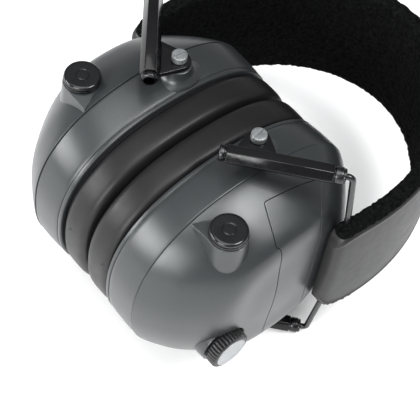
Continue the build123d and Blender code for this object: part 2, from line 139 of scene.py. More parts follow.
material("shell_grey", (0.0285, 0.0322, 0.0338), 0.32, metallic=0.25, specular=0.66, mottle=(28, 0.05),
         speckle=(1900, 0.10), rough_vary=0.015, grain=2400, bump=0.004)
material("cushion_vinyl", (0.0072, 0.007, 0.0075), 0.40, specular=0.29, mottle=(45, 0.12),
         rough_vary=0.03, grain=900, pores=1400, bump=0.02)
material("leatherette", (0.0105, 0.0103, 0.0108), 0.42, specular=0.34, mottle=(40, 0.08),
         rough_vary=0.03, grain=900, pores=1500, bump=0.02)
material("fleece", (0.0035, 0.0037, 0.0038), 0.95, specular=0.05, mottle=(700, 0.75), speckle=(2500, 0.5),
         grain=1300, bump=0.5)
material("foam", (0.030, 0.030, 0.032), 0.95, specular=0.2, mottle=(400, 0.4), pores=900, bump=0.6)
material("slider_black", (0.003, 0.003, 0.0035), 0.15, specular=0.35, mottle=(90, 0.2), grain=700, bump=0.01)
material("black_wire", (0.008, 0.008, 0.009), 0.2, specular=0.6, mottle=(120, 0.2), grain=900, bump=0.01)
material("dark_chrome", (0.05, 0.05, 0.052), 0.26, metallic=1.0, mottle=(250, 0.35), speckle=(1500, 0.2),
         grain=1500, bump=0.02)
material("mic_black", (0.004, 0.0042, 0.005), 0.16, specular=0.45, mottle=(200, 0.3), grain=1800, bump=0.012)
material("pin_steel", (0.22, 0.23, 0.235), 0.42, metallic=0.6, mottle=(600, 0.25), speckle=(1800, 0.2),
         grain=900, bump=0.04)
material("knob_black", (0.012, 0.012, 0.013), 0.45, mottle=(200, 0.25), grain=1500, bump=0.03)
material("knob_grey", (0.33, 0.34, 0.35), 0.42, metallic=0.3, mottle=(120, 0.08), speckle=(1900, 0.1),
         grain=2000, bump=0.015)
material("black_plastic", (0.015, 0.015, 0.016), 0.5, mottle=(90, 0.2), grain=1500, bump=0.03)
material("slug_plastic", (0.02, 0.02, 0.02), 0.5, mottle=(90, 0.2), grain=1500, bump=0.03)
material("spring_steel", (0.30, 0.31, 0.33), 0.35, metallic=1.0, mottle=(150, 0.2), grain=900, bump=0.02)
material("board_green", (0.02, 0.10, 0.04), 0.4, mottle=(300, 0.3), grain=700, bump=0.03)
material("battery_jacket", (0.05, 0.05, 0.06), 0.3, mottle=(120, 0.15), grain=500, bump=0.01)
material("speaker_metal", (0.25, 0.25, 0.26), 0.4, metallic=0.9, mottle=(200, 0.2), grain=900, bump=0.02)


# ---------------- mesh helpers
def grid_faces(rows, cols, start=0, loop_cols=True, loop_rows=False):
    """Quads over a grid of rows × cols points."""
    faces = []
    for i in range(rows if loop_rows else rows - 1):
        for j in range(cols if loop_cols else cols - 1):
            a, b = i * cols + j, i * cols + (j + 1) % cols
            c, d = ((i + 1) % rows) * cols + (j + 1) % cols, ((i + 1) % rows) * cols + j
            faces.append((start + a, start + b, start + c, start + d))
    return faces


def skin(loops, loop_rows=False, cap_start=False, cap_end=False):
    """Points and faces of a stack of closed loops; a cap is a fan to the loop's middle."""
    rows, cols = len(loops), len(loops[0])
    points = [tuple(p) for loop in loops for p in loop]
    faces = grid_faces(rows, cols, loop_rows=loop_rows)
    for cap, first in ((cap_start, 0), (cap_end, (rows - 1) * cols)):
        if cap:
            middle = tuple(np.mean(points[first:first + cols], axis=0))
            points.append(middle)
            faces += [(first + j, first + (j + 1) % cols, len(points) - 1) for j in range(cols)]
    return points, faces


def merged(*bodies):
    """One set of points and faces from several."""
    points, faces = [], []
    for body_points, body_faces in bodies:
        faces += [tuple(v + len(points) for v in f) for f in body_faces]
        points += [tuple(p) for p in body_points]
    return points, faces


def built(name, shape, side):
    """Object and mesh from a shape's points and faces.  side -1 mirrors them to the right ear."""
    points, faces = shape
    mesh = bpy.data.meshes.new(name)
    mesh.from_pydata([(x * side * MM, y * MM, z * MM) for x, y, z in points], [], faces)
    edit = bmesh.new()
    edit.from_mesh(mesh)
    bmesh.ops.remove_doubles(edit, verts=edit.verts, dist=1e-6)
    bmesh.ops.recalc_face_normals(edit, faces=edit.faces)
    edit.to_mesh(mesh)
    edit.free()
    made = bpy.data.objects.new(name, mesh)
    bpy.context.scene.collection.objects.link(made)
    return made, mesh


def smooth(mesh, sharp):
    """Smooth shading, with edges sharper than an angle in degrees left hard."""
    mesh.polygons.foreach_set("use_smooth", [True] * len(mesh.polygons))
    mesh.set_sharp_from_angle(angle=radians(sharp))


def piece(name, shape, body, slot, replaces=(), sharp=35, side=1):
    """Piece in the model's frame, riding on a body and standing for the CAD nodes it replaces."""
    made, mesh = built(name, shape, side)
    smooth(mesh, sharp)
    mesh.materials.append(SURFACES[slot])
    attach(made, body)
    if replaces:
        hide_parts(*replaces)
    return made


def thicken(made, thickness, edge):
    """Give a sheet its wall, inwards, and round its rims."""
    wall = made.modifiers.new("wall", "SOLIDIFY")
    wall.thickness = thickness * MM
    wall.offset = -1
    rim = made.modifiers.new("rim", "BEVEL")
    rim.width = edge * MM
    rim.segments = 3
    rim.limit_method = "ANGLE"
    rim.angle_limit = radians(50)


def oval(angle, half_y, half_z):
    """Rounded-square outline about the cup's axis, as offsets in y and z."""
    c, s = np.cos(angle), np.sin(angle)
    r = (np.abs(c) ** POWER + np.abs(s) ** POWER) ** (-1 / POWER)
    return half_y * r * c, half_z * r * s


def smooth_max(a, b, soft):
    """The larger of two heights, with a fillet where they meet."""
    gap = np.clip(0.5 + 0.5 * (a - b) / soft, 0, 1)
    return a * gap + b * (1 - gap) + soft * gap * (1 - gap)


# ---------------- the dome's surface
TABLE = 1 - np.linspace(1, 0, 2001) ** 2  # shares of the dome's depth, closer together near the flat face


def dome_sizes(share):
    """Half sizes of the dome's outline at a share of its depth."""
    turn = (1 - np.clip(share, 0, 1) ** 1.2) ** (1 / 1.27)
    return CUP_HALF_Y * (FACE_Y + (1 - FACE_Y) * turn), CUP_HALF_Z * (FACE_Z + (1 - FACE_Z) * turn)


STRIDES = np.hypot(np.diff(dome_sizes(TABLE)[0]), DOME_DEPTH * np.diff(TABLE))
WALK = np.concatenate([[0], np.cumsum(STRIDES)])  # along the dome's side, from the seam to the flat face
FLAT_R = CUP_HALF_Y * FACE_Y
CHART_R = FLAT_R + WALK[-1]
CROWN = 1.7  # the flat face bulges this much
FULL_SHOULDER, FULL_LOW = 1.3, 0.036  # fullness added at the turn, and to the side away from the crown
EASE, EASE_REACH = 4.2, 13.0  # width of the eased turn, and how far it is worked out
SHARP_START, SHARP_LONG = 10.0, 12.0  # past the turn the easing fades out over this stretch
RADII = np.linspace(0, CHART_R, 1600)


def eased(values, mirror):
    """Values over RADII with their turn at FLAT_R eased; mirror says how they go on past the middle."""
    step = RADII[1]
    reach = int(EASE_REACH / step)
    weights = np.exp(-0.5 * (np.arange(-reach, reach + 1) * step / EASE) ** 2)
    outer = 2 * values[-1] - values[-2:-reach - 2:-1]
    long = np.concatenate([mirror * values[reach:0:-1], values, outer])
    soft = np.convolve(long, weights / weights.sum(), "valid")
    keep = np.clip((RADII - FLAT_R - SHARP_START) / SHARP_LONG, 0, 1)
    keep = keep * keep * (3 - 2 * keep)
    return soft * (1 - keep) + values * keep


PART = np.clip(RADII / FLAT_R, 0, 1)
SHARE = np.interp(CHART_R - RADII, WALK, TABLE)
SHOULDER = FULL_SHOULDER * np.exp(-((RADII - FLAT_R) / 7.0) ** 2)
DEPTHS = eased(SEAM_X + DOME_DEPTH * SHARE + CROWN * (1 - PART ** 2) ** 2 + SHOULDER, 1)
HALF_YS, HALF_ZS = (eased(half * PART, -1) for half in dome_sizes(SHARE))
FULLNESS = FULL_LOW * np.exp(-((RADII - (FLAT_R + CHART_R) / 2) / 10.0) ** 2)


def half_sizes(r, below):
    """Half sizes of the dome at a chart radius; the side away from the crown is a little fuller."""
    fuller = 1 + np.where(below, np.interp(r, RADII, FULLNESS), 0)
    return np.interp(r, RADII, HALF_YS) * fuller, np.interp(r, RADII, HALF_ZS)


def dome_point(u, v):
    """Point of the dome at chart coordinates: the dome unrolled on a disc of radius CHART_R."""
    u, v = np.asarray(u, float), np.asarray(v, float)
    r, angle = np.hypot(u, v), np.arctan2(v, u)
    y, z = oval(angle, *half_sizes(r, np.cos(angle) < 0))
    return np.stack([np.interp(r, RADII, DEPTHS), CUP_Y + y, MID_Z + z], -1)


def dome_chart(y, z):
    """Chart coordinates of the dome's point at y and z, given from the cup's centre."""
    y, z = np.asarray(y, float), np.asarray(z, float)
    low, high = np.zeros_like(y), np.full_like(y, CHART_R)
    for _ in range(40):
        r = (low + high) / 2
        a, b = half_sizes(r, y < 0)
        outside = (np.abs(y / a) ** POWER + np.abs(z / b) ** POWER) > 1
        low, high = np.where(outside, r, low), np.where(outside, high, r)
    r = (low + high) / 2
    a, b = half_sizes(r, y < 0)
    angle = np.arctan2(z / b, y / a)
    return r * np.cos(angle), r * np.sin(angle)


def dome_front(x, y):
    """Height of the dome over the middle plane at x and y, or far below where there is none."""
    r = np.interp(-x, -DEPTHS, RADII)
    a, b = half_sizes(r, y < CUP_Y)
    inside = 1 - np.abs((y - CUP_Y) / a) ** POWER
    height = b * np.clip(inside, 0, 1) ** (1 / POWER)
    return np.where((x > DEPTHS[0]) | (inside <= 0), -50.0, height)


def dome_out(y, z):
    """x of the dome at y and z."""
    u, v = dome_chart(y - CUP_Y, z - MID_Z)
    return dome_point(u, v)[..., 0]


# ---------------- battery door's outline, in the chart
DOOR_REAR, NOTCH_Z, FLARE_Z = -29.0, 30.8, 28.0
LEFT_EDGE, LEFT_BOW = -5.6, 1.2  # y of the left edge at its ends, and how far it bows in between them
NOTCH, NOTCH_STEP = 1.4, 0.6  # the left edge steps out this far at the finger notch, over this height
RIGHT_EDGE, FLARE = 13.7, 10.5  # y of the right edge, and how far its front corner flares out
FRONT_X = (38.3, 40.3)  # the front edge lies this far out, left and right
TIP_Y = (-2.6, 22.4)  # y of its two ends
DOOR_SEAM = 0.13  # half the width of the seam around the door


def tip_z(x, y):
    """z of the dome at x and y, from the cup's centre."""
    return dome_front(x, y + CUP_Y)


def door_sides():
    """The four sides of the door as rows of (y, z) from the cup's centre: left, front, right, rear."""
    across = np.linspace(*TIP_Y, 60)
    front_z = tip_z(np.linspace(*FRONT_X, 60), across)
    along = np.linspace(0, 1, 60)
    straight = LEFT_EDGE + LEFT_BOW * np.sin(pi * along)
    tip = np.linspace(0, 1, 30)
    past_notch = NOTCH_Z + NOTCH_STEP
    left_z = np.concatenate([DOOR_REAR + (NOTCH_Z - DOOR_REAR) * along,
                             past_notch + (front_z[0] - past_notch) * tip])
    corner = LEFT_EDGE - NOTCH * (1 - tip) ** 2 + (TIP_Y[0] - LEFT_EDGE) * tip ** 2
    left_y = np.concatenate([straight, corner])
    right_z = np.linspace(front_z[-1], DOOR_REAR, 90)
    right_y = RIGHT_EDGE + FLARE * (np.maximum(right_z - FLARE_Z, 0) / (front_z[-1] - FLARE_Z)) ** 1.6
    rear = np.linspace(right_y[-1], left_y[0], 40)
    return (np.stack([left_y, left_z], -1), np.stack([across, front_z], -1), np.stack([right_y, right_z], -1),
            np.stack([rear, np.full(40, DOOR_REAR)], -1))


def resample(line, spacing):
    """Even points along a closed line."""
    line = np.array(line, float)
    line = np.vstack([line, line[:1]])
    walk = np.concatenate([[0], np.cumsum(np.hypot(*np.diff(line, axis=0).T))])
    count = max(3, int(round(walk[-1] / spacing)))
    at = np.linspace(0, walk[-1], count + 1)[:count]
    return np.stack([np.interp(at, walk, line[:, k]) for k in (0, 1)], -1)


def softened(loop, passes):
    """Round a closed line's corners."""
    for _ in range(passes):
        loop = 0.5 * loop + 0.25 * (np.roll(loop, 1, 0) + np.roll(loop, -1, 0))
    return loop


def pushed(loop, gap):
    """A closed line moved outwards by gap."""
    ahead = np.roll(loop, -1, 0) - np.roll(loop, 1, 0)
    out = np.stack([ahead[:, 1], -ahead[:, 0]], -1)
    out /= np.hypot(*out.T)[:, None]
    middle = loop.mean(0)
    if np.sum((loop - middle) * out) < 0:
        out = -out
    return loop + gap * out


DOOR_YZ = np.vstack([side[:-1] for side in door_sides()])
DOOR_LOOP = softened(resample(np.stack(dome_chart(*DOOR_YZ.T), -1), 0.42), 6)


def within(points, loop):
    """Which points of the chart lie inside a closed line."""
    hit = np.zeros(len(points), bool)
    for a, b in zip(loop, np.roll(loop, -1, 0)):
        crosses = (a[1] > points[:, 1]) != (b[1] > points[:, 1])
        slant = (b[0] - a[0]) * (points[:, 1] - a[1]) / (b[1] - a[1] if b[1] != a[1] else 1e-9) + a[0]
        hit ^= crosses & (points[:, 0] < slant)
    return hit


SHEET_SPACING = 0.95  # between the points of a sheet
RIM_ROWS = (0.22, 0.62)  # two finer rows of points follow each rim at these distances


def dome_sheet(outline, holes=()):
    """The dome's surface inside an outline and outside its holes, both in the chart."""
    lines = [outline, *holes]
    side = np.arange(-CHART_R, CHART_R, SHEET_SPACING)
    rows = np.arange(-CHART_R, CHART_R, SHEET_SPACING * sqrt(3) / 2)
    grid = np.array([(x + (k % 2) * SHEET_SPACING / 2, y) for k, y in enumerate(rows) for x in side])
    rims = []
    for line, inwards in [(outline, -1)] + [(hole, 1) for hole in holes]:
        rims += [pushed(line, inwards * RIM_ROWS[0]), pushed(line, inwards * RIM_ROWS[1])[::2]]
    keep = within(grid, outline)
    for hole in holes:
        keep &= ~within(grid, hole)
    for line in lines:
        gap = np.min([np.hypot(*(grid - p).T) for p in line], axis=0)
        keep &= gap > RIM_ROWS[1] + 0.55 * SHEET_SPACING
    points = np.vstack(lines + rims + [grid[keep]])
    edges, first = [], 0
    for line in lines:
        count = len(line)
        edges += [(first + k, first + (k + 1) % count) for k in range(count)]
        first += count
    flat, _, faces, *_ = delaunay_2d_cdt([Vector(p) for p in points], edges, [], 0, 1e-5)
    flat = np.array([tuple(p) for p in flat])
    middles = np.array([flat[list(f)].mean(0) for f in faces])
    keep = within(middles, outline)
    for hole in holes:
        keep &= ~within(middles, hole)
    return dome_point(flat[:, 0], flat[:, 1]), [tuple(f) for f, good in zip(faces, keep) if good]


RIM_ANGLE = np.linspace(0, 2 * pi, 320, endpoint=False)
DOME_RIM = CHART_R * np.stack([np.cos(RIM_ANGLE), np.sin(RIM_ANGLE)], -1)


def skirt_rows(r, height, ground, start, rows):
    """Even points down a skirt, from its first radius to where it has blended into the ground past start."""
    blended = np.where((height - ground < 0.012) & (r > start))[0]
    last = blended[0] if len(blended) else len(r) - 1
    r, height = r[:last + 1], height[:last + 1]
    walk = np.concatenate([[0], np.cumsum(np.hypot(np.diff(r), np.diff(height)))])
    at = np.linspace(0, walk[-1], rows)
    radii, heights = np.interp(at, walk, r), np.interp(at, walk, height)
    heights[-1] -= 0.15  # the hem sinks into the dome
    return radii, heights


# ---------------- microphone boss with its fin
TIP = np.array([SEAM_X + 0.6 - MIC_X, -7.2])  # the fin's tip, from the boss's axis
BOSS_R, BOSS_BORE = 7.15, 3.0
BOSS_STEEP, FIN_STEEP = 14.0, 2.2  # slopes of the boss's side and of the fin's tip
FIN_DROP = 0.9  # the fin's top falls this much towards its tip


def teardrop():
    """Outline of the boss and fin around the boss's axis, sampled evenly."""
    far = hypot(*TIP)
    lean = atan2(TIP[1], TIP[0])
    open_angle = np.arccos(BOSS_R / far)
    arc = np.linspace(lean + open_angle, lean - open_angle + 2 * pi, 220)
    line = [(BOSS_R * cos(t), BOSS_R * sin(t)) for t in arc]
    line.append(tuple(TIP))
    return resample(line, 0.32)


def teardrop_gap(x, y):
    """Distance outside the boss-and-fin outline; x and y from the boss's axis."""
    circle = np.hypot(x, y) - BOSS_R
    far = hypot(*TIP)
    dx, dy = TIP / far
    along = x * dx + y * dy
    beside = np.abs(-x * dy + y * dx)
    slope = BOSS_R / far
    flank = along * slope + beside * sqrt(1 - slope ** 2) - BOSS_R
    past = np.hypot(along - far, beside)
    beyond = along * sqrt(1 - slope ** 2) - beside * slope > sqrt(far ** 2 - BOSS_R ** 2)
    wedge = np.where(beyond, past, flank)
    fore = along > BOSS_R * slope
    return np.where(fore, np.minimum(wedge, np.where(circle < 0, circle, wedge)), circle)


def boss_shape():
    """Skirt of the boss and fin, with a fillet where it meets the dome."""
    outline = teardrop()
    rows = 30
    loops = [[] for _ in range(rows)]
    for ox, oy in outline:
        reach = hypot(ox, oy)
        dx, dy = ox / reach, oy / reach
        r = np.linspace(BOSS_BORE + 0.2, reach + 7.0, 900)
        x, y = MIC_X + r * dx, MIC_Y + r * dy
        gap = np.maximum(teardrop_gap(x - MIC_X, y - MIC_Y), 0)
        fin = np.clip((reach - BOSS_R) / 5.0, 0, 1)
        steep = BOSS_STEEP + (FIN_STEEP - BOSS_STEEP) * fin
        back = np.clip((r - BOSS_R) / (hypot(*TIP) - BOSS_R), 0, 1)
        top = BOSS_TOP - 0.05 - FIN_DROP * back
        ground = dome_front(np.maximum(x, SEAM_X + 0.01), y)
        height = smooth_max(top - steep * gap, ground, 0.7)
        radii, heights = skirt_rows(r, height, ground, reach, rows)
        for loop, out, up in zip(loops, radii, heights):
            loop.append((MIC_X + out * dx, MIC_Y + out * dy, MID_Z + up))
    bore = [(MIC_X + BOSS_BORE * cos(t), MIC_Y + BOSS_BORE * sin(t), MID_Z + BOSS_TOP - 6.0)
            for t in np.unwrap([atan2(y, x) for x, y in outline])]
    return skin([bore] + loops)


SEAT_EDGE, SEAT_STEEP = 8.9, 25.0  # radius at which the knob's seat ends, and the slope of its side
SEAT_BORE, SEAT_REACH = 3.2, 14.0


def seat_shape():
    """Skirt of the volume knob's seat."""
    rows, cols = 16, 96
    loops = [[] for _ in range(rows)]
    for t in np.linspace(0, 2 * pi, cols, endpoint=False):
        r = np.linspace(SEAT_BORE, SEAT_REACH, 500)
        y, z = KNOB_Y + r * cos(t), KNOB_Z + r * sin(t)
        ground = dome_out(y, z)
        top = SEAT_X - SEAT_STEEP * np.maximum(r - SEAT_EDGE, 0)
        height = np.where(r < SEAT_EDGE - 0.1, SEAT_X, smooth_max(top, ground, 0.4))
        radii, heights = skirt_rows(r, height, ground, SEAT_EDGE + 0.05, rows)
        for loop, out, x in zip(loops, radii, heights):
            loop.append((x, KNOB_Y + out * cos(t), KNOB_Z + out * sin(t)))
    return skin(loops)


# ---------------- domes and the battery door
KNOB_HOLE_R = 9.05
KNOB_ANGLE = np.linspace(0, 2 * pi, 110, endpoint=False)
KNOB_HOLE = np.stack(dome_chart(KNOB_Y - CUP_Y + KNOB_HOLE_R * np.cos(KNOB_ANGLE),
                                KNOB_Z - MID_Z + KNOB_HOLE_R * np.sin(KNOB_ANGLE)), -1)
WALL, WALL_EDGE = 1.8, 0.12  # thickness of the domes, and the rounding of their rims
LEFT_HOLES = (pushed(DOOR_LOOP, DOOR_SEAM), KNOB_HOLE)
left_dome = piece("left_dome_shell", dome_sheet(DOME_RIM, LEFT_HOLES), "left_cup", "shell_grey", ["left_dome"])
piece("left_dome_details", merged(boss_shape(), seat_shape()), "left_cup", "shell_grey")
right_dome = piece("right_dome_shell", dome_sheet(DOME_RIM), "right_cup", "shell_grey", ["right_dome"],
                   side=-1)
piece("right_dome_boss", boss_shape(), "right_cup", "shell_grey", side=-1)
door = piece("battery_door_shell", dome_sheet(pushed(DOOR_LOOP, -DOOR_SEAM)), "battery_door", "shell_grey",
             ["battery_door"])
for shell in (left_dome, right_dome, door):
    thicken(shell, WALL, WALL_EDGE)


# ---------------- ring shells
def ring_shape():
    """Ring between the cushion and the seam, with a lip at the cushion's edge."""
    profile = [(16.5, -2.6), (14.3, -2.6), (13.75, -2.2), (13.7, -1.0), (13.75, -0.35), (13.95, -0.08),
               (14.3, 0.0), (15.15, 0.0), (15.3, -0.06), (15.38, -0.32), (15.5, -0.36), (15.62, -0.32),
               (15.7, -0.08), (15.85, 0.0), (17.5, 0.12), (20.0, 0.2), (23.0, 0.22), (26.0, 0.14),
               (28.0, 0.03), (28.55, 0.0), (28.7, -0.04), (29.0, -0.28), (29.1, -0.5), (29.1, -2.6),
               (27.0, -2.6), (20.0, -2.6)]
    angle = np.linspace(0, 2 * pi, 320, endpoint=False)
    loops = []
    for x, out in profile:
        half_z = EDGE_HALF_Z + (CUP_HALF_Z - EDGE_HALF_Z) * (x - EDGE_X) / (SEAM_X - EDGE_X)
        y, z = oval(angle, CUP_HALF_Y + out, half_z + out)
        loops.append(np.stack([np.full(len(angle), x), CUP_Y + y, MID_Z + z], -1))
    return skin(loops, loop_rows=True)


PAD_REACH = 7.3  # the flare stays within this of the pin in x, inside the ring


def pad_shape(side):
    """Round pad that carries a pivot pin, flaring into the ring."""
    loops = []
    for r, z in ((2.05, 42.0), (2.05, 47.8), (2.3, 47.9), (4.6, 47.9), (4.9, 47.7), (5.1, 46.5), (5.3, 44.8),
                 (5.8, 43.6), (6.8, 42.7), (8.2, 42.0), (9.6, 41.2)):
        loops.append([(PIN_X + min(r, PAD_REACH) * cos(t), PIN_Y + r * sin(t), MID_Z + side * z)
                      for t in np.linspace(0, 2 * pi, 64, endpoint=False)])
    return skin(loops)


for name, side in (("left", 1), ("right", -1)):
    piece(f"{name}_ring", merged(ring_shape(), pad_shape(1), pad_shape(-1)), f"{name}_cup", "shell_grey",
          [f"{name}_ring_shell"], side=side)


# ---------------- turned pieces
def lathe(profile, centre, axis, cols=96, teeth=None):
    """Closed turned form: profile gives (radius, height) pairs from the axis back to the axis."""
    axis = Vector(axis).normalized()
    across = axis.orthogonal().normalized()
    beside = axis.cross(across)
    loops = []
    for r, h in profile:
        loop = []
        for j in range(cols):
            t = 2 * pi * j / cols
            reach = r * (teeth(r, h, t) if teeth else 1.0)
            p = Vector(centre) + axis * h + (across * cos(t) + beside * sin(t)) * reach
            loop.append(tuple(p))
        loops.append(loop)
    return loops


def mic_shape():
    """Microphone cap: a skirt, a groove, a rounded puck and a plain ring in its top."""
    profile = [(6.2, 0.02), (6.2, 0.3), (6.8, 0.36), (6.9, 0.5), (6.9, 0.95), (6.82, 1.1), (6.5, 1.16),
               (6.4, 1.28), (6.5, 1.4), (6.72, 1.5), (6.8, 1.8), (6.78, 2.2), (6.62, 2.6), (6.3, 2.87),
               (5.9, 3.02), (5.5, 3.06), (4.6, 3.02), (3.4, 2.96), (2.66, 2.94), (2.5, 2.9),
               (2.42, 2.78), (2.3, 2.74), (2.18, 2.78), (2.1, 2.9), (1.95, 2.93), (1.2, 2.94),
               (0.5, 2.94)]
    return skin(lathe(profile, (MIC_X, MIC_Y, MID_Z + BOSS_TOP), (0, 0, 1)), cap_start=True, cap_end=True)


PIN_LOW = PLATE_LOW + PLATE_THICK + 0.15  # underside of a pin's head, over the middle plane
PIN_HEAD = 2.6  # height of the head
SLOT_TURN, SLOT_HALF, SLOT_DEEP = radians(100), 0.22, 0.4


def pin_shape(side):
    """Pivot pin with its head."""
    low = PIN_LOW
    high = low + PIN_HEAD
    profile = [(2.0, 38.6), (2.0, low - 0.02), (2.75, low), (2.9, low + 0.15), (2.9, high - 0.4),
               (2.82, high - 0.18), (2.6, high - 0.04), (2.2, high), (1.2, high)]
    return skin(lathe(profile, (PIN_X, PIN_Y, MID_Z), (0, 0, side), cols=64), cap_start=True, cap_end=True)


def slot_cutter(side):
    """Box that cuts the slot in a pin's head."""
    top = PIN_LOW + PIN_HEAD
    made = []
    turn = Matrix.Rotation(SLOT_TURN, 3, "Z")
    for x in (-4, 4):
        for y in (-SLOT_HALF, SLOT_HALF):
            for z in (top - SLOT_DEEP, top + 1):
                p = turn @ Vector((x, y, 0))
                made.append((PIN_X + p.x, PIN_Y + p.y, MID_Z + side * z))
    return made, [(0, 1, 3, 2), (4, 6, 7, 5), (0, 4, 5, 1), (2, 3, 7, 6), (0, 2, 6, 4), (1, 5, 7, 3)]


def cut(made, shape, side):
    """Subtract a shape from a piece for good."""
    tool, _ = built("cutter", shape, side)
    work = made.modifiers.new("cut", "BOOLEAN")
    work.operation = "DIFFERENCE"
    work.object = tool
    bpy.context.view_layer.update()
    done = bpy.data.meshes.new_from_object(made.evaluated_get(bpy.context.evaluated_depsgraph_get()))
    made.modifiers.clear()
    made.data = done
    bpy.data.objects.remove(tool)
    smooth(done, 35)


def slider_axis(distance, side):
    """Centre and direction of a slider at a distance from the hinge."""
    spot = (FOLD_X + distance * cos(LEG), FOLD_Y + distance * sin(LEG), MID_Z + side * SLIDER_Z)
    return spot, (cos(LEG), sin(LEG), 0)


def hexagon(inset, round_r=0.5):
    """Hexagon 6.3 across flats, with rounded corners and flats up and down, as (up, beside) offsets."""
    flat = 3.15 - inset
    made = []
    for k in range(6):
        corner = radians(60 * k + 30)
        reach = (flat - round_r) / cos(radians(30))
        for step in range(6):
            t = radians(60 * k + 12 * step)
            made.append((reach * cos(corner) + round_r * cos(t), reach * sin(corner) + round_r * sin(t)))
    return made


TUBE_NEAR, TUBE_FAR, TUBE_BORE = 9.1, 46.1, 1.95  # ends of a slider tube, from the hinge, and its bore


def tube_shape(side):
    """Hexagonal slider tube, bored 5 mm deep at both ends; a row without an inset lies on the bore."""
    rows = [(TUBE_NEAR + 4.9, None), (TUBE_NEAR, None), (TUBE_NEAR, 0.35), (TUBE_NEAR + 0.1, 0.14),
            (TUBE_NEAR + 0.35, 0), (TUBE_FAR - 0.35, 0), (TUBE_FAR - 0.1, 0.14), (TUBE_FAR, 0.35),
            (TUBE_FAR, None), (TUBE_FAR - 5.1, None)]
    loops = []
    for distance, inset in rows:
        spot, way = slider_axis(distance, side)
        loop = []
        for up, beside in hexagon(inset or 0):
            if inset is None:
                size = hypot(up, beside)
                up, beside = up * TUBE_BORE / size, beside * TUBE_BORE / size
            loop.append((spot[0] - way[1] * beside, spot[1] + way[0] * beside, spot[2] + up))
        loops.append(loop)
    return skin(loops, loop_rows=True)


def plate_shape(side):
    """Flat bracket from the tube to the pin, with an eye for the pin and rounded edges."""
    at, beside = PIN_AT, PIN_BESIDE
    eye, eye_hole = 4.4, 2.05
    feet = [(at + 8.6, -1.0), (at - 9.4, -1.0)]
    tangents = []  # angles at which the sides leave the eye
    for (x, y), sign in zip(feet, (-1, 1)):
        tangents.append(atan2(y - beside, x - at) + sign * np.arccos(eye / hypot(x - at, y - beside)))
    turns = np.linspace(tangents[0], tangents[1] - 2 * pi, 40)
    outline = np.stack([at + eye * np.cos(turns), beside + eye * np.sin(turns)], -1)
    outline = np.vstack([outline, np.linspace(outline[-1], feet[1], 12)[1:],
                         np.linspace(feet[1], feet[0], 24)[1:], np.linspace(feet[0], outline[0], 12)[1:-1]])
    hole = outline - (at, beside)
    hole = (at, beside) + eye_hole * hole / np.hypot(*hole.T)[:, None]
    low, high = PLATE_LOW, PLATE_LOW + PLATE_THICK
    loops = []
    rows = [(hole, 0, low), (outline, -0.35, low), (outline, -0.1, low + 0.1), (outline, 0, low + 0.35),
            (outline, 0, high - 0.35), (outline, -0.1, high - 0.1), (outline, -0.35, high), (hole, 0, high)]
    for line, gap, z in rows:
        q = pushed(line, gap) if gap else line
        x = FOLD_X + q[:, 0] * cos(LEG) - q[:, 1] * sin(LEG)
        y = FOLD_Y + q[:, 0] * sin(LEG) + q[:, 1] * cos(LEG)
        loops.append(np.stack([x, y, np.full(len(q), MID_Z + side * z)], -1))
    return skin(loops, loop_rows=True)


def sleeve_shape(side, start, profile, bore):
    """Turned sleeve on a slider: profile gives (distance from its start, radius)."""
    spot, way = slider_axis(start, side)
    long = profile[-1][0]
    turned = [(bore, long), (bore, 0)] + [(r, h) for h, r in profile]
    return skin(lathe(turned, spot, way, cols=48), loop_rows=True)


COLLAR = [(0, 2.3), (0.12, 2.55), (0.35, 2.68), (0.6, 2.7), (0.72, 2.62), (0.85, 2.6), (1.0, 2.72),
          (1.15, 2.88), (1.4, 2.95), (3.6, 2.95), (3.8, 2.88), (3.9, 2.7), (4.05, 2.62), (4.2, 2.62)]
END_RING = [(0, 2.5), (0.1, 2.6), (0.25, 2.62), (0.5, 2.64), (0.62, 2.9), (0.8, 3.02), (1.0, 3.05),
            (1.9, 3.05), (2.1, 2.98), (2.3, 2.75), (2.5, 2.5)]
COLLAR_START, COLLAR_BORE = 4.9, 1.2
WIRE_R = 1.15


def wire_shape():
    """The folding frame: one round wire bent four times, from slug to slug."""
    neck = BAND_HALF_WIDTH + 2
    corners = [(44.5, SLIDER_Z), (2.5, SLIDER_Z), (0, neck), (0, -neck), (2.5, -SLIDER_Z), (44.5, -SLIDER_Z)]
    corners = [Vector(p) for p in corners]
    line = [corners[0]]
    for before, at, after, bend in zip(corners, corners[1:], corners[2:], (2.0, 8.0, 8.0, 2.0)):
        back, on = (before - at).normalized(), (after - at).normalized()
        half = back.angle(on) / 2
        centre = at + (back + on).normalized() * (bend / sin(half))
        start, end = at + back * (bend / np.tan(half)) - centre, at + on * (bend / np.tan(half)) - centre
        sweep = start.angle_signed(end)
        for step in np.linspace(0, 1, 15):
            line.append(centre + Matrix.Rotation(-sweep * step, 2) @ start)
    line.append(corners[-1])
    loops = []
    for k, p in enumerate(line):
        way = (line[min(k + 1, len(line) - 1)] - line[max(k - 1, 0)]).normalized()
        loop = []
        for t in np.linspace(0, 2 * pi, 24, endpoint=False):
            q = p + Vector((-way.y, way.x)) * (WIRE_R * cos(t))
            beside = WIRE_R * sin(t)
            loop.append((FOLD_X + q.x * cos(LEG) - beside * sin(LEG),
                         FOLD_Y + q.x * sin(LEG) + beside * cos(LEG), MID_Z + q.y))
        loops.append(loop)
    return skin(loops, cap_start=True, cap_end=True)


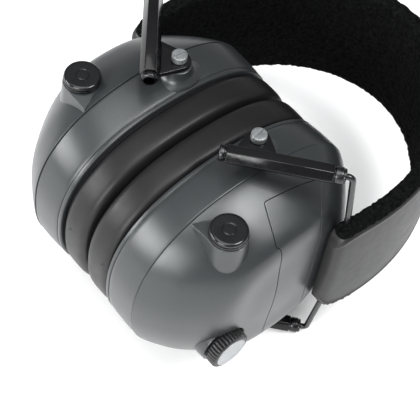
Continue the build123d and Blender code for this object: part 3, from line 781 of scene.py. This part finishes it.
HALF_SLEEVE = [(1.6, 13.0), (1.45, 13.2), (1.45, 16.8), (1.6, 17.0), (1.6, 19.8), (1.5, 20.0), (1.2, 20.0)]
HINGE_SLEEVE = [(r, -h) for r, h in reversed(HALF_SLEEVE)] + HALF_SLEEVE
for name, side in (("left", 1), ("right", -1)):
    piece(f"{name}_frame_wire", wire_shape(), f"{name}_frame", "black_wire", [f"{name}_wire_frame"],
          side=side)
    sleeve = skin(lathe(HINGE_SLEEVE, (FOLD_X, FOLD_Y, MID_Z), (0, 0, 1), cols=40), loop_rows=True)
    piece(f"{name}_hinge_sleeve", sleeve, "headband", "black_plastic", [f"{name}_hinge_block"], side=side)
    piece(f"{name}_mic_puck", mic_shape(), f"{name}_cup", "mic_black", [f"{name}_mic_cap"], side=side)
    pins = piece(f"{name}_pin_heads", merged(pin_shape(1), pin_shape(-1)), f"{name}_cup", "pin_steel",
                 [f"{name}_pivot_pins"], side=side)
    cut(pins, slot_cutter(1), side)
    cut(pins, slot_cutter(-1), side)
    for place, up in (("front", 1), ("rear", -1)):
        piece(f"{name}_{place}_slider_tube", merged(tube_shape(up), plate_shape(up)), f"{name}_sliders",
              "slider_black", [f"{name}_{place}_slider"], side=side, sharp=50)
    for kind, start, profile, bore in (("collars", COLLAR_START, COLLAR, COLLAR_BORE),
                                       ("end_rings", TUBE_FAR, END_RING, TUBE_BORE)):
        pair = [sleeve_shape(up, start, profile, bore) for up in (1, -1)]
        piece(f"{name}_{kind}", merged(*pair), f"{name}_sliders", "dark_chrome", [f"{name}_slider_{kind}"],
              side=side, sharp=50)


# ---------------- volume knob
TEETH, TOOTH_DEPTH = 36, 0.085  # the depth is a share of the radius


def knurl(r, h, t):
    """Radius factor of the knob's toothed rim."""
    if r < 7.0 or not 0.3 < h < 4.6:
        return 1.0
    wave = 0.5 + 0.5 * cos(TEETH * t)
    return 1.0 - TOOTH_DEPTH * (1 - min(1.0, wave * 1.8))


knob_profile = [(3.0, -6.0), (3.0, -0.02), (7.2, 0.0), (7.7, 0.12), (7.9, 0.35), (8.05, 0.6), (8.2, 1.2),
                (8.2, 3.6), (8.1, 4.2), (7.9, 4.5), (7.5, 4.75), (7.1, 4.9), (6.75, 5.0), (6.62, 4.95),
                (6.6, 4.6), (6.5, 4.2)]
piece("volume_knob_rim", skin(lathe(knob_profile, (KNOB_X, KNOB_Y, KNOB_Z), (1, 0, 0), cols=360, teeth=knurl),
                              cap_start=True, cap_end=True), "volume_knob", "knob_black", ["volume_knob"])
face_profile = [(6.3, 4.25), (6.5, 4.3), (6.5, 4.95), (6.42, 5.12), (6.2, 5.2), (5.4, 5.2), (5.1, 5.1),
                (4.6, 5.05), (2.0, 5.0)]
piece("volume_knob_face", skin(lathe(face_profile, (KNOB_X, KNOB_Y, KNOB_Z), (1, 0, 0)), cap_start=True,
                               cap_end=True), "volume_knob", "knob_grey", ["knob_face"])


# ---------------- padded pieces
def inflate(made, held, pressure, cap, frames=20):
    """Blow a pad up with cloth, holding some of its points, and never further than cap."""
    rest = np.array([v.co for v in made.data.vertices])
    group = made.vertex_groups.new(name="held")
    for index, weight in enumerate(held):
        if weight > 0:
            group.add([index], float(weight), "REPLACE")
    cloth = made.modifiers.new("cloth", "CLOTH")
    s = cloth.settings
    s.use_pressure = True
    s.uniform_pressure_force = pressure
    s.vertex_group_mass = "held"
    s.quality = 5
    s.mass = 0.3
    s.tension_stiffness = 15
    s.compression_stiffness = 15
    s.bending_stiffness = 0.5
    s.effector_weights.gravity = 0
    cloth.collision_settings.use_collision = False
    cloth.point_cache.frame_start = 1
    cloth.point_cache.frame_end = frames
    for step in range(1, frames + 1):
        bpy.context.scene.frame_set(step)
    after = made.evaluated_get(bpy.context.evaluated_depsgraph_get()).data
    moved = np.array([v.co for v in after.vertices]) - rest
    far = np.linalg.norm(moved, axis=1, keepdims=True)
    moved *= np.minimum(1, cap * MM / np.maximum(far, 1e-9))
    made.modifiers.remove(cloth)
    made.vertex_groups.clear()
    bpy.context.scene.frame_set(1)
    return rest + moved


CUSHION_OUTER, CUSHION_INNER = (49.7, 41.2), (32.0, 22.0)  # half sizes in y and z
CUSHION_MID, CUSHION_HALF = 6.95, 6.65  # middle and half of its depth
CUSHION_POWER = 0.46  # of the section: 1 is round, 0 is square
CUSHION_X = (0.12, 13.75)  # the blown-up cushion stays within this


def cushion_shape():
    """Ring cushion: an oval tube with a full outer side and a flat face."""
    cols, rows = 200, 48
    angle = np.linspace(0, 2 * pi, cols, endpoint=False)
    outer_y, outer_z = oval(angle, *CUSHION_OUTER)
    inner_y, inner_z = oval(angle, *CUSHION_INNER)
    loops = []
    for k in range(rows):
        t = 2 * pi * k / rows
        across = np.sign(cos(t)) * abs(cos(t)) ** CUSHION_POWER
        deep = np.sign(sin(t)) * abs(sin(t)) ** CUSHION_POWER
        half = (1 + across) / 2
        x = CUSHION_MID + CUSHION_HALF * deep
        y = inner_y + (outer_y - inner_y) * half
        z = inner_z + (outer_z - inner_z) * half
        loops.append(np.stack([np.full(cols, x), CUP_Y + y, MID_Z + z], -1))
    return skin(loops, loop_rows=True)


HELD_FROM = 12.3  # the cushion's back is held from this depth on
VENT = [(0.5, -0.6), (0.42, 0.02), (0.5, 0.12), (0.62, 0.14), (0.74, 0.08), (0.8, -0.06), (0.8, -0.6)]
VENT_DEPTH = {"left": 10.1, "right": 8.7}  # the vent's depth in the cushion
VENT_TURN = radians(170)  # its place around the cup's axis
for name, side in (("left", 1), ("right", -1)):
    pad = piece(f"{name}_cushion", cushion_shape(), f"{name}_cup", "cushion_vinyl", [f"{name}_ear_cushion"],
                side=side)
    at = np.array([v.co for v in pad.data.vertices]) / MM
    deep = at[:, 0] * side
    held = np.clip((deep - HELD_FROM) / 0.8, 0, 1)
    blown = inflate(pad, held, pressure=3.0, cap=1.1)
    blown[:, 0] = side * np.clip(side * blown[:, 0], CUSHION_X[0] * MM, CUSHION_X[1] * MM)
    pad.data.vertices.foreach_set("co", blown.ravel())
    pad.data.update()
    fine = pad.modifiers.new("fine", "SUBSURF")
    fine.levels = fine.render_levels = 1
    bpy.context.view_layer.update()
    y, z = oval(VENT_TURN, 55.0, 46.0)
    found, spot, out, _ = pad.ray_cast(Vector((side * VENT_DEPTH[name], CUP_Y + y, MID_Z + z)) * MM,
                                       Vector((0, -y, -z)).normalized())
    if not found:
        raise RuntimeError("a cushion's vent misses the cushion")
    piece(f"{name}_vent_1", skin(lathe(VENT, spot / MM, out, cols=24), cap_start=True), f"{name}_cup",
          "black_plastic")


def slab_shape(half_y, half_z, low, high, edge, cols=160):
    """Soft oval slab across the cup's axis."""
    angle = np.linspace(0, 2 * pi, cols, endpoint=False)
    across = (0.02, 0.3, 0.6, 0.85)  # rows of its two faces, as shares of their size
    rows = [(high, share, 0) for share in across]
    for t in np.linspace(pi / 2, -pi / 2, 7):
        rows.append(((low + high) / 2 + (high - low) / 2 * sin(t), 1, edge * cos(t)))
    rows += [(low, share, 0) for share in reversed(across)]
    loops = []
    for x, share, out in rows:
        y, z = oval(angle, (half_y - edge) * share + out, (half_z - edge) * share + out)
        loops.append(np.stack([np.full(cols, x), CUP_Y + y, MID_Z + z], -1))
    return skin(loops, cap_start=True, cap_end=True)


FOAM_HALF, FOAM_X = (46.9, 38.0), (18.7, 21.5)
for name, side in (("left", 1), ("right", -1)):
    pad = piece(f"{name}_damping_foam", slab_shape(*FOAM_HALF, *FOAM_X, edge=1.2), f"{name}_cup", "foam",
                [f"{name}_ear_foam"], side=side)


# ---------------- headband
def band_point(share, depth, z, end):
    """Points of the band.

    share is the place along it, depth lies under its outer face, z is from its middle, and end is how much
    shorter it is at both ends.
    """
    half_x, half_y = BAND_HALF_X - depth, BAND_HALF_Y - depth
    start = np.arcsin((PAD_END_Y + end - BAND_Y) / half_y)
    t = start + (pi - 2 * start) * share
    return np.stack([half_x * np.cos(t), BAND_Y + half_y * np.sin(t), MID_Z + z], -1)


BAND_LONG = 245.0  # length of the band along its middle, near enough for spacing
ROLL = 2.6  # radius of the cover's rolled edges
COVER_HALF = BAND_HALF_WIDTH - 0.9
COVER_INNER = BAND_THICK - 0.05  # the end's wall reaches this deep
COVER_LIP = 3.4  # elsewhere the cover reaches this deep under the fleece
END_WALL = 3.4  # thickness of the wall around each end
END_ROUND = 3.8  # the pad's end is rounded over this length
END_SWEEP = 12.0  # and its corners, seen from outside, over this one
END_PROUD = 1.3  # the padded end swells this far past its stitched edge
BLUNT = 3.2  # exponent of the rounded end


def rounded_end(section, gap, corner, start=0.0):
    """Pull a section in towards its middle near the band's end; corner is how much narrower the tip is."""
    thin = 1 - (1 - max(0.0, 1 - (gap - start) / END_ROUND) ** BLUNT) ** (1 / BLUNT)
    slim = 1 - sqrt(1 - max(0.0, 1 - gap / END_SWEEP) ** 2)
    middle = np.array([BAND_THICK / 2, 0.0])
    room = np.abs(section - middle)
    pull = np.array([BAND_THICK / 2 * thin, 1.5 * thin + corner * slim])
    return middle + np.sign(section - middle) * np.maximum(room - pull, 0.0)


def shares(step):
    """Places along the band, closer together near its ends."""
    turn = 1 - np.cos(np.linspace(0, pi / 2, 15)[:-1]) ** (2 / BLUNT)
    near = np.concatenate([END_ROUND * turn, np.arange(END_ROUND, BAND_LONG / 2, step)])
    left = near / BAND_LONG
    return np.concatenate([left, 1 - left[::-1]])


def both_edges(edge, middle):
    """A section's one edge, its middle, and the same edge mirrored."""
    return edge + middle + [(deep, -z) for deep, z in reversed(edge)]


def cover_shape():
    """Leatherette: outer face rolled over both edges, and a rounded wall around each end."""
    loops = []
    for s in shares(1.7):
        gap = min(s, 1 - s) * BAND_LONG
        deep = min(COVER_INNER, max(COVER_LIP, COVER_INNER - (gap - END_WALL) * 5.0))
        half = COVER_HALF
        lip = 0.5 if gap > 4.0 else 0.0  # the cover's edge sinks under the fleece
        roll = [(ROLL - ROLL * sin(t), half - ROLL + ROLL * cos(t)) for t in np.linspace(0, pi / 2, 9)]
        section = both_edges(roll, [(0.0, z) for z in np.linspace(half - ROLL, -half + ROLL, 26)[1:-1]])
        under = [(d, -half + lip) for d in np.linspace(ROLL, deep, 6)[1:]]
        section += both_edges(under, [(deep, z) for z in np.linspace(-half, half, 26)[1:-1]])
        section = np.array(section)
        section[:, 0] += np.where(section[:, 0] < 0.01, 0.7 * (np.abs(section[:, 1]) / half) ** 3, 0)
        section = rounded_end(section, gap, 6.5)
        loops.append(band_point(s, section[:, 0], section[:, 1], -END_PROUD))
    return skin(loops, cap_start=True, cap_end=True)


FLEECE_START = 1.6  # the fleece begins this far from the padded end
FLEECE_HALF = BAND_HALF_WIDTH + 0.2
FLEECE_LOW, FLEECE_ROLL = 0.9, 1.6  # the depth at which it ends over the edges, and its rounding
PILE = ((0.42, 0.62, (0, 0, 0)), (0.22, 1.3, (7, 3, 1)))  # height, scale and offset of its two noises


def fleece_shape():
    """Fleece over the inner face and both edges, with its pile as geometry."""
    loops = []
    steps = np.linspace(0, 1, 460)
    near = steps[1] * np.linspace(0, 1, 6) ** 2  # closer rows at both ends
    steps = np.concatenate([near[:-1], steps[1:-1], 1 - near[::-1][1:]])
    half, low, high, roll = FLEECE_HALF, FLEECE_LOW, BAND_THICK, FLEECE_ROLL
    edge = [(low + 0.2 * k, half - 0.9 + 0.18 * k) for k in range(5)]
    edge += [(high - roll + roll * sin(t), half - roll + roll * cos(t)) for t in np.linspace(0, pi / 2, 10)]
    face = [(high, z) for z in np.linspace(half - roll, -half + roll, 84)[1:-1]]
    section = np.array(both_edges(edge, face))
    normal = np.stack([np.gradient(section[:, 1]), -np.gradient(section[:, 0])], -1)
    normal /= np.hypot(*normal.T)[:, None]
    outward = np.sign(np.sum((section - section.mean(0)) * normal, 1))
    normal *= outward[:, None]
    for s in steps:
        gap = min(s, 1 - s) * BAND_LONG + FLEECE_START
        shape = rounded_end(section, gap, 6.3, FLEECE_START)
        base = band_point(s, shape[:, 0], shape[:, 1], FLEECE_START - END_PROUD)
        loop = []
        for j, p in enumerate(base):
            pile = sum(tall * noise.noise(Vector(p) * scale + Vector(away)) for tall, scale, away in PILE)
            loop.append(shape[j] + normal[j] * pile)
        loop = np.array(loop)
        loops.append(band_point(s, loop[:, 0], loop[:, 1], FLEECE_START - END_PROUD))
    return skin(loops, cap_start=True, cap_end=True)


cover = piece("headband_leather", cover_shape(), "headband", "leatherette",
              ["headband_cover", "headband_foam"], sharp=70)
fine = cover.modifiers.new("fine", "SUBSURF")
fine.levels = fine.render_levels = 1
lining = piece("headband_fleece", fleece_shape(), "headband", "fleece", ["headband_lining"], sharp=180)

# ---------------- CAD pieces that stay
KEPT = {"wire_stops": "slug_plastic", "spring_strip": "spring_steel", "batteries": "battery_jacket",
        "battery_contacts": "spring_steel", "circuit_board": "board_green", "speaker": "speaker_metal",
        "mic_element": "dark_chrome", "shell_screws": "spring_steel"}  # the others are black plastic
for name, node in NODES.items():
    if node.hide_render:
        continue
    kind = name.removeprefix("left_").removeprefix("right_")
    node.data.materials.clear()
    node.data.materials.append(SURFACES[KEPT.get(kind, "black_plastic")])

# ---------------- floor, light and camera
floor_mesh = bpy.data.meshes.new("floor")
floor_mesh.from_pydata([(-4, -4, 0), (4, -4, 0), (4, 4, 0), (-4, 4, 0)], [], [(0, 1, 2, 3)])
floor = bpy.data.objects.new("floor", floor_mesh)
bpy.context.scene.collection.objects.link(floor)
white = bpy.data.materials.new("floor_white")
white.use_nodes = True
paper = white.node_tree.nodes["Principled BSDF"]
paper.inputs["Base Color"].default_value = (0.9, 0.9, 0.9, 1)
paper.inputs["Roughness"].default_value = 0.7
paper.inputs["Emission Color"].default_value = (1, 1, 1, 1)
paper.inputs["Emission Strength"].default_value = 0.12
floor_mesh.materials.append(white)

world = bpy.data.worlds.new("studio")
bpy.context.scene.world = world
world.use_nodes = True
studio = world.node_tree
sky = studio.nodes["Background"]
sky.inputs["Color"].default_value = (0.97, 0.98, 1.0, 1)
direction = studio.nodes.new("ShaderNodeTexCoord")
split = studio.nodes.new("ShaderNodeSeparateXYZ")
studio.links.new(direction.outputs["Generated"], split.inputs[0])
fades = []
for source, start, end, low, high in (("Z", 0.5, 0.95, 0.34, 0.75), ("Y", 0.7, -0.9, 0.78, 1.0)):
    fade = studio.nodes.new("ShaderNodeMapRange")
    fade.interpolation_type = "SMOOTHSTEP"
    fade.inputs["From Min"].default_value = start
    fade.inputs["From Max"].default_value = end
    fade.inputs["To Min"].default_value = low
    fade.inputs["To Max"].default_value = high
    studio.links.new(split.outputs[source], fade.inputs["Value"])
    fades.append(fade.outputs["Result"])
both = studio.nodes.new("ShaderNodeMath")
both.operation = "MULTIPLY"
studio.links.new(fades[0], both.inputs[0])
studio.links.new(fades[1], both.inputs[1])
studio.links.new(both.outputs[0], sky.inputs["Strength"])


def softbox(name, azimuth, elevation, wide, high, glow):
    """Rectangular area light one metre from the cups, aimed at them; glow is its radiance."""
    lamp = bpy.data.lights.new(name, "AREA")
    lamp.shape = "RECTANGLE"
    lamp.size, lamp.size_y = wide, high
    lamp.energy = glow * pi * wide * high
    holder = bpy.data.objects.new(name, lamp)
    bpy.context.scene.collection.objects.link(holder)
    a, e = radians(azimuth), radians(elevation)
    away = Vector((cos(a) * cos(e), sin(a) * cos(e), sin(e)))
    holder.location = Vector((0, -0.02, 0.05)) + away
    holder.rotation_euler = away.to_track_quat("Z", "Y").to_euler()


softbox("left", -124, 21, 0.50, 0.40, 11.5)
softbox("front", -72, 23, 0.50, 0.45, 11.0)
softbox("near", -70, 68, 0.60, 0.60, 1.6)
softbox("top", -100, 82, 0.70, 0.60, 2.6)
softbox("back", 27, 60, 0.36, 0.34, 16.0)

AZ, EL, TILT = radians(42.785), radians(54.590), radians(9.165)
AWAY = 0.5046  # metres
target = Vector((0, PIN_Y * MM, MID_Z * MM))
toward = Vector((sin(AZ) * cos(EL), -cos(AZ) * cos(EL), sin(EL)))
ahead = -toward
level = ahead.cross(Vector((0, 0, 1))).normalized()
upright = level.cross(ahead)
right = cos(TILT) * level + sin(TILT) * upright
up = -sin(TILT) * level + cos(TILT) * upright
lens = bpy.data.cameras.new("camera")
lens.sensor_width = 36.0
lens.lens = 113.83
lens.shift_x, lens.shift_y = 0.01224, -0.07067
camera = bpy.data.objects.new("camera", lens)
bpy.context.scene.collection.objects.link(camera)
camera.matrix_world = Matrix.Translation(target + toward * AWAY) @ Matrix(
    (right, up, toward)).transposed().to_4x4()
bpy.context.scene.camera = camera
bpy.context.scene.view_settings.view_transform = "Standard"
